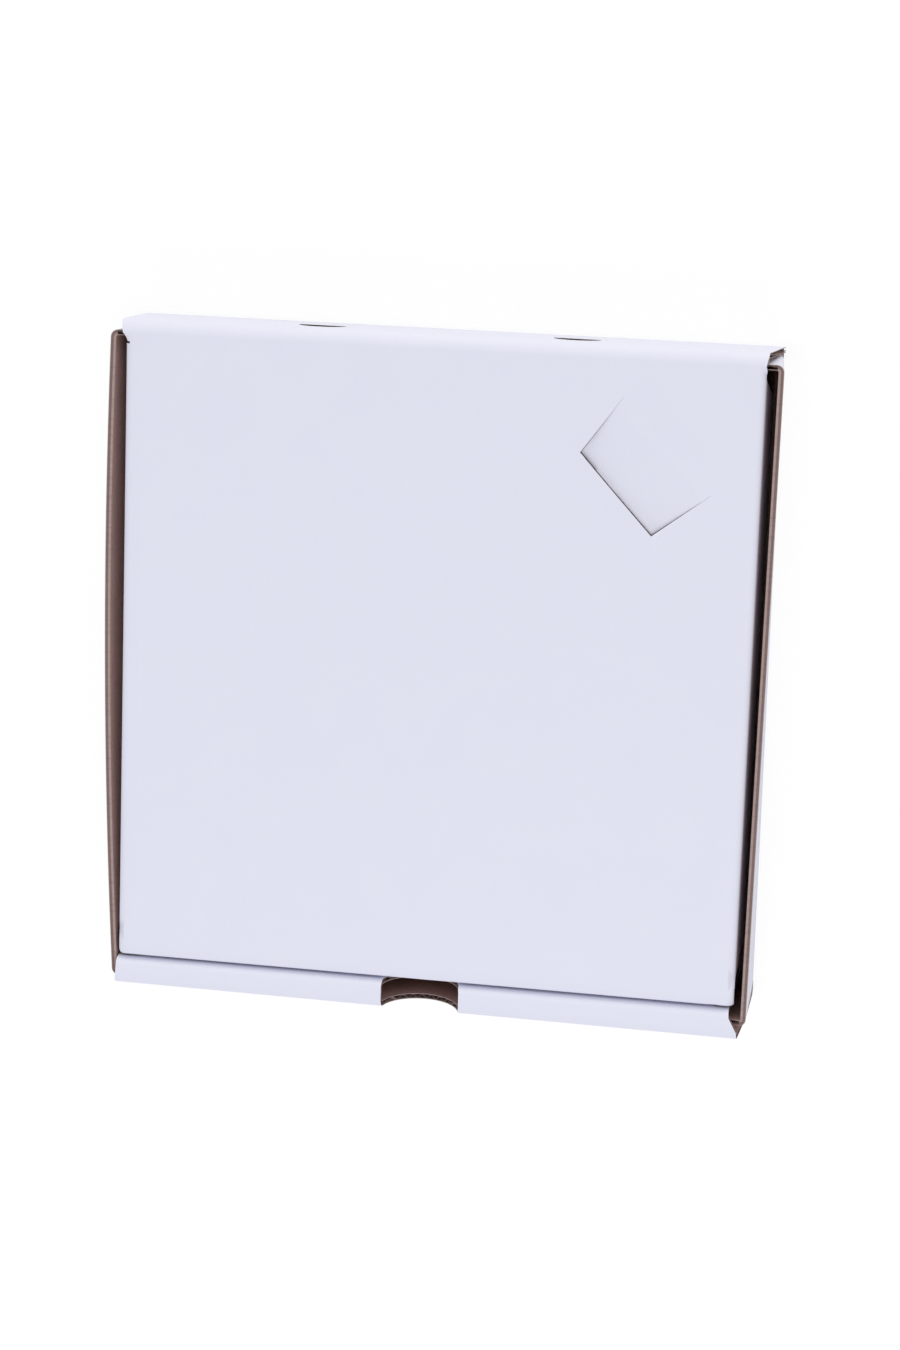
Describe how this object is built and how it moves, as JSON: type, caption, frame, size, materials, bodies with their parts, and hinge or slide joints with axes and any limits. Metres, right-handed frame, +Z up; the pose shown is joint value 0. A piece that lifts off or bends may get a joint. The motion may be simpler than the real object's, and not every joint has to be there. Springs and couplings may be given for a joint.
{
  "type": "pizza box",
  "caption": "Small square folding pizza box of white-lined fluted board, with a hinged tuck-in lid, rolled-over front wall, thumb notch, vents and a die-cut tab.",
  "frame": {"origin": "under the middle of the closed box, on the surface that it lies on", "axes": "+Z up through the lid, -Y towards the thumb notch, +Y towards the hinge"},
  "size_m": [0.2429, 0.245, 0.048],
  "materials": {
    "white_lined_board": "matt bleached white liner outside, brown kraft liner and fluting inside and at every cut edge",
    "kraft_board": "bare brown kraft liner and fluting, seen inside and at the cut edges"
  },
  "bodies": {
    "tray_body": {"tray": "white_lined_board"},
    "lid_body": {"lid": "white_lined_board"},
    "vent_tab_body": {"vent_tab": "white_lined_board"}
  },
  "joints": [
    {"name": "lid_hinge", "type": "hinge", "parent": "tray_body", "child": "lid_body", "pos_m": [0, 0.1225, 0.048], "axis": [-1, 0, 0], "range_deg": [0, 180]},
    {"name": "vent_tab_crease", "type": "hinge", "parent": "lid_body", "child": "vent_tab_body", "pos_m": [0.0807, 0.0893, 0.046], "axis": [0.7071, -0.7071, 0], "range_deg": [-3.5, 85]}
  ]
}
